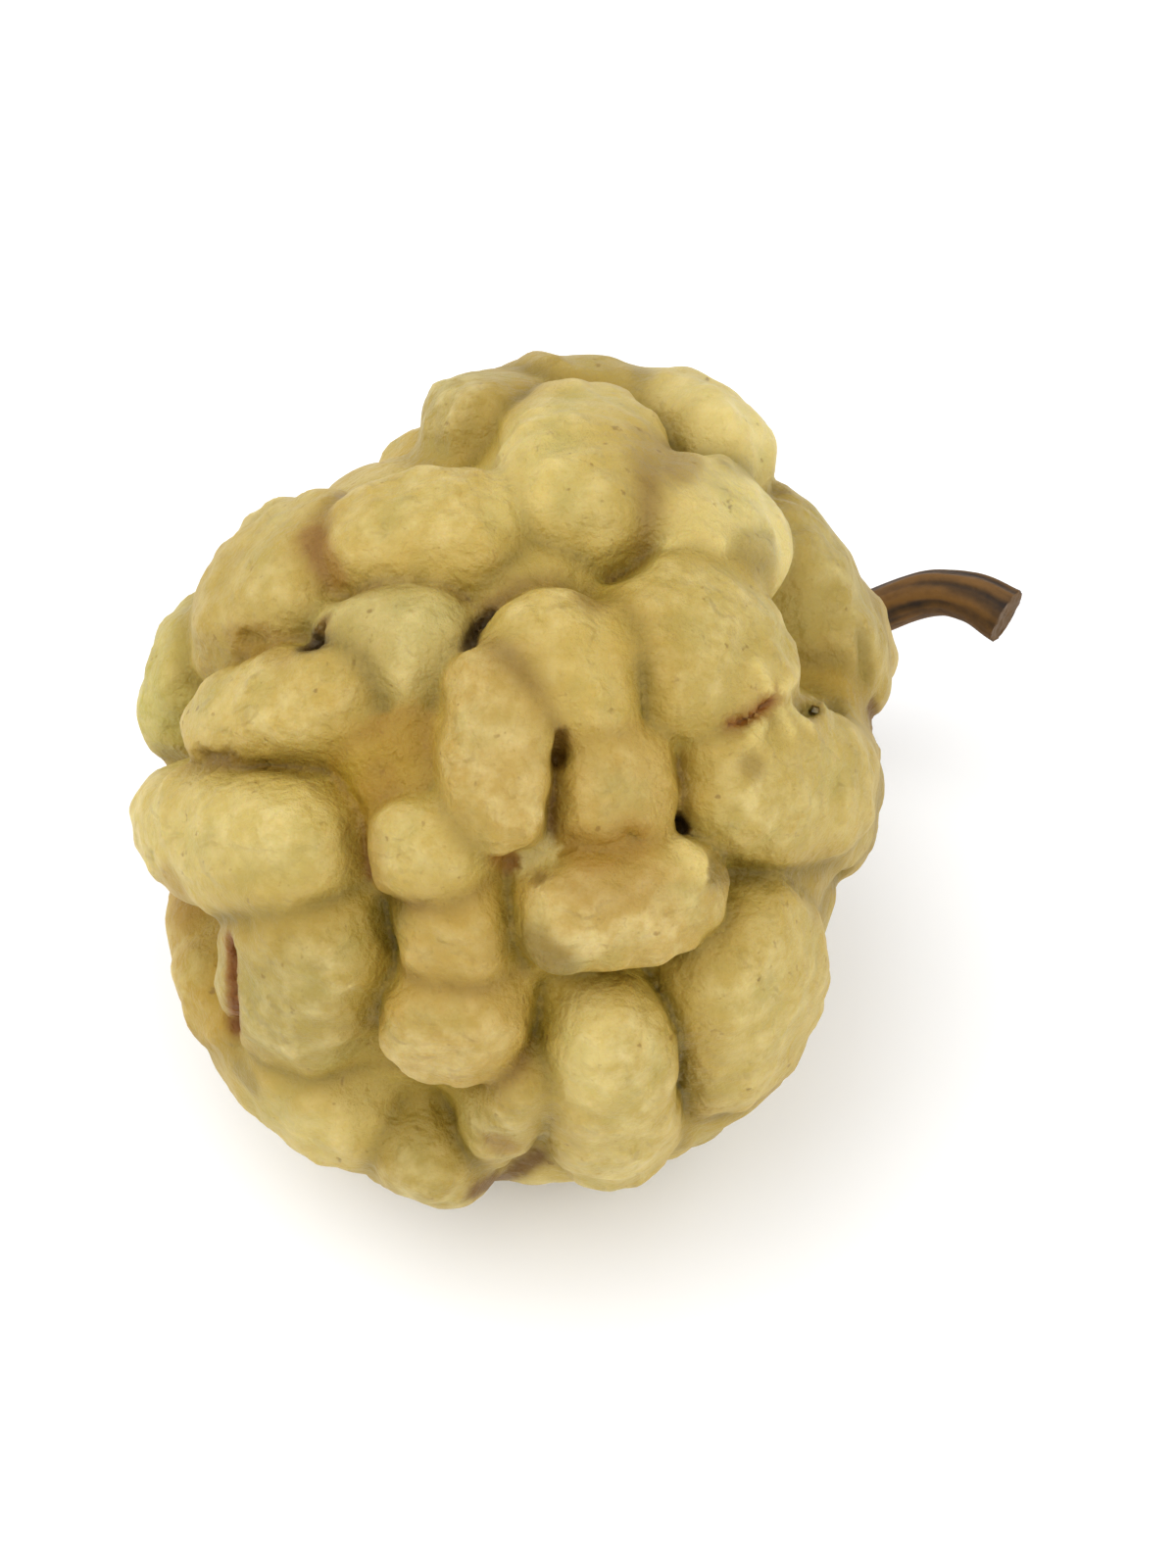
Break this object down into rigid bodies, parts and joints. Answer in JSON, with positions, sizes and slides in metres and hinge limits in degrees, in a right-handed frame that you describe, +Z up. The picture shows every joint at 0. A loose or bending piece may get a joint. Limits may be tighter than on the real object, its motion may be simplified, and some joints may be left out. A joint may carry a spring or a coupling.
{
  "type": "dried white mulberry",
  "caption": "Dried white mulberry: plump drupelets fused round a core, with a short bent stem, lying on three low points with its tip up and to the front.",
  "frame": {"origin": "middle of the bounding box's underside, on the surface that the berry lies on", "axes": "+X to the side where the stem stands out, +Y away from the side that the tip faces, +Z up from the surface"},
  "size_m": [0.0144, 0.0132, 0.0128],
  "materials": {
    "dried_flesh": "dried, waxy, pale golden",
    "dry_stalk": "dry, matte, dark brown"
  },
  "bodies": {
    "root": {"berry": "dried_flesh", "stem": "dry_stalk"}
  },
  "joints": []
}
